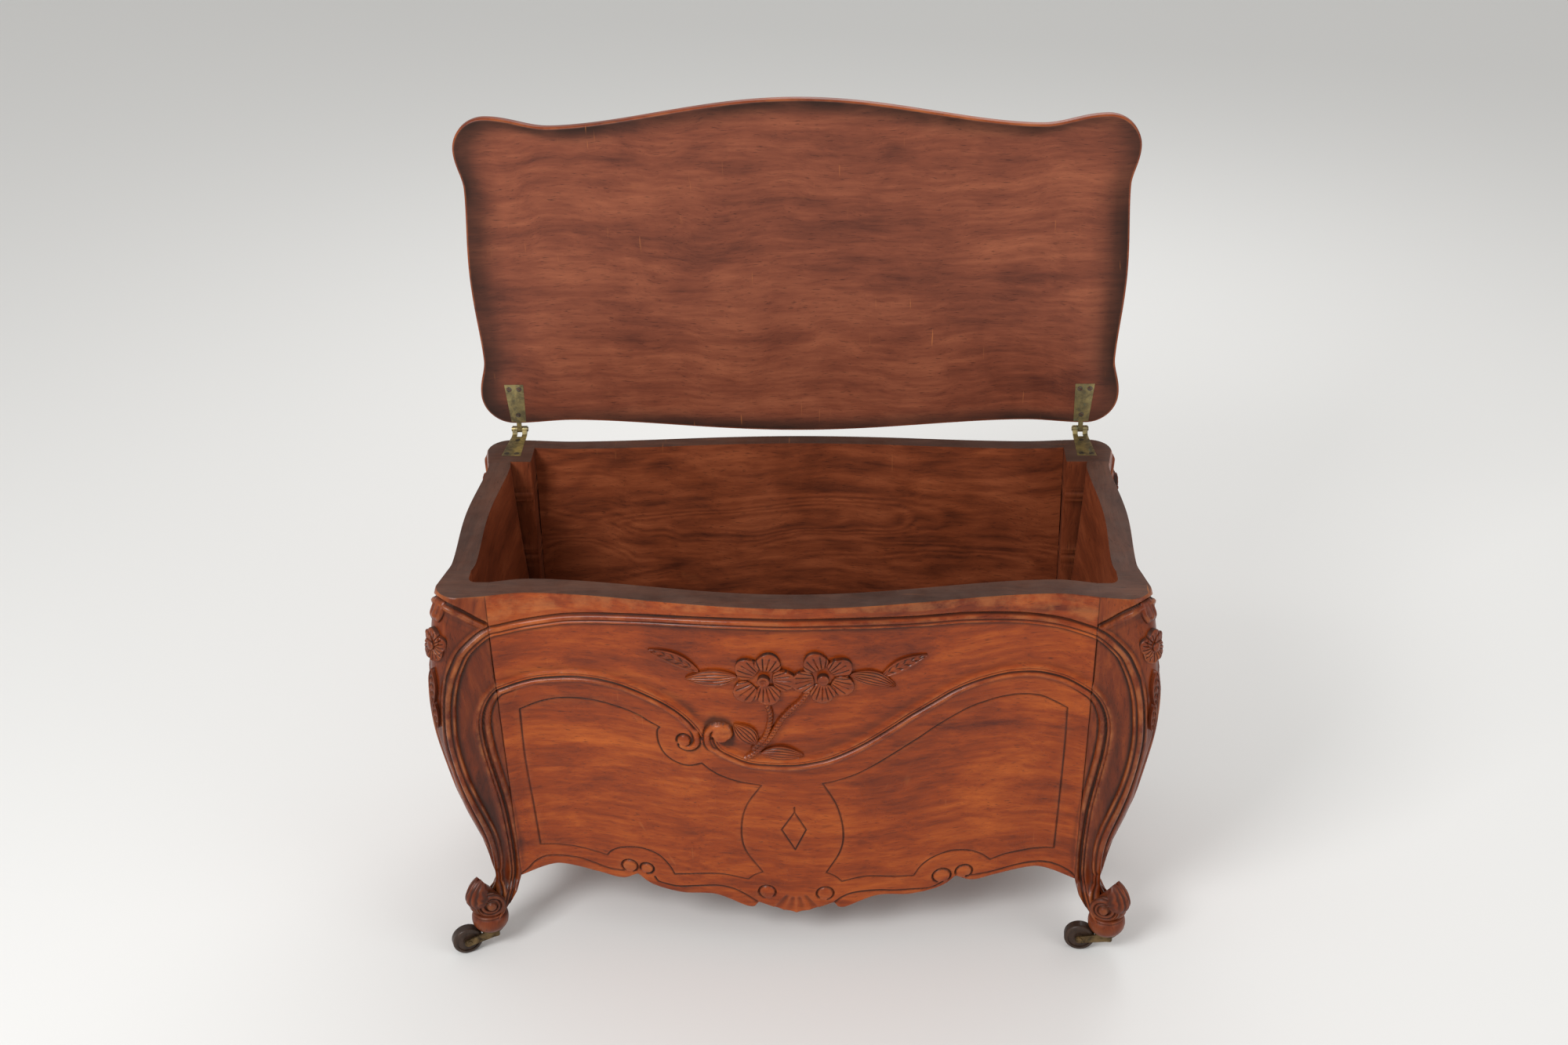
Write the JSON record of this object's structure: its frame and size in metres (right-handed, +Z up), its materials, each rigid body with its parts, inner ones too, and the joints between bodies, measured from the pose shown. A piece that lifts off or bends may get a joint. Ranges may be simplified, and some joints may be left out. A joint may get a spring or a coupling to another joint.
{
  "type": "cassone",
  "caption": "Bowed and bombe carved wooden chest with an open hinged lid, scrolled cabriole feet and swivel casters.",
  "frame": {"origin": "on the floor, under the middle of the chest and its open lid", "axes": "+Z up, the carved front faces -Y, +X to the right of someone who faces it"},
  "size_m": [0.9055, 0.4847, 1.0249],
  "materials": {
    "carcass_wood": "waxed, carved, with dark hollows and worn edges",
    "inside_wood": "bare, dusty",
    "lid_wood": "waxed board with grimy edges",
    "brass": "aged, dull",
    "wheel_wood": "dark, worn"
  },
  "bodies": {
    "carcass": {"front_panel": "carcass_wood", "back_panel": "carcass_wood", "left_side_panel": "carcass_wood", "right_side_panel": "carcass_wood", "front_left_leg": "carcass_wood", "front_right_leg": "carcass_wood", "rear_left_leg": "carcass_wood", "rear_right_leg": "carcass_wood", "bottom_board": "inside_wood", "front_batten": "inside_wood", "back_batten": "inside_wood", "left_batten": "inside_wood", "right_batten": "inside_wood", "left_hinge_lower_leaf": "brass", "left_hinge_lower_screws": "brass", "left_hinge_pin": "brass", "right_hinge_lower_leaf": "brass", "right_hinge_lower_screws": "brass", "right_hinge_pin": "brass", "front_left_caster_plate": "brass", "front_left_caster_screws": "brass", "front_right_caster_plate": "brass", "front_right_caster_screws": "brass", "rear_left_caster_plate": "brass", "rear_left_caster_screws": "brass", "rear_right_caster_plate": "brass", "rear_right_caster_screws": "brass"},
    "lid": {"lid": "lid_wood", "left_hinge_upper_leaf": "brass", "left_hinge_upper_screws": "brass", "right_hinge_upper_leaf": "brass", "right_hinge_upper_screws": "brass"},
    "front_left_caster": {"front_left_caster_horn": "brass", "front_left_caster_axle": "brass"},
    "front_left_wheel": {"front_left_caster_wheel": "wheel_wood"},
    "front_right_caster": {"front_right_caster_horn": "brass", "front_right_caster_axle": "brass"},
    "front_right_wheel": {"front_right_caster_wheel": "wheel_wood"},
    "rear_left_caster": {"rear_left_caster_horn": "brass", "rear_left_caster_axle": "brass"},
    "rear_left_wheel": {"rear_left_caster_wheel": "wheel_wood"},
    "rear_right_caster": {"rear_right_caster_horn": "brass", "rear_right_caster_axle": "brass"},
    "rear_right_wheel": {"rear_right_caster_wheel": "wheel_wood"}
  },
  "joints": [
    {"name": "lid_hinge", "type": "hinge", "parent": "carcass", "child": "lid", "pos_m": [0, 0.202, 0.567], "axis": [1, 0, 0], "range_deg": [0, 92.9]},
    {"name": "front_left_swivel", "type": "hinge", "parent": "carcass", "child": "front_left_caster", "pos_m": [-0.408, -0.202, 0.02], "axis": [0, 0, 1], "continuous": true},
    {"name": "front_left_roll", "type": "hinge", "parent": "front_left_caster", "child": "front_left_wheel", "pos_m": [-0.4393, -0.21529, 0.02], "axis": [0.3907, -0.9205, 0], "continuous": true},
    {"name": "front_right_swivel", "type": "hinge", "parent": "carcass", "child": "front_right_caster", "pos_m": [0.408, -0.202, 0.02], "axis": [0, 0, 1], "continuous": true},
    {"name": "front_right_roll", "type": "hinge", "parent": "front_right_caster", "child": "front_right_wheel", "pos_m": [0.37413, -0.19904, 0.02], "axis": [-0.0872, -0.9962, 0], "continuous": true},
    {"name": "rear_left_swivel", "type": "hinge", "parent": "carcass", "child": "rear_left_caster", "pos_m": [-0.4, 0.16, 0.02], "axis": [0, 0, 1], "continuous": true},
    {"name": "rear_left_roll", "type": "hinge", "parent": "rear_left_caster", "child": "rear_left_wheel", "pos_m": [-0.43195, 0.17163, 0.02], "axis": [-0.342, -0.9397, 0], "continuous": true},
    {"name": "rear_right_swivel", "type": "hinge", "parent": "carcass", "child": "rear_right_caster", "pos_m": [0.4, 0.16, 0.02], "axis": [0, 0, 1], "continuous": true},
    {"name": "rear_right_roll", "type": "hinge", "parent": "rear_right_caster", "child": "rear_right_wheel", "pos_m": [0.36633, 0.15527, 0.02], "axis": [0.1392, -0.9903, 0], "continuous": true}
  ]
}
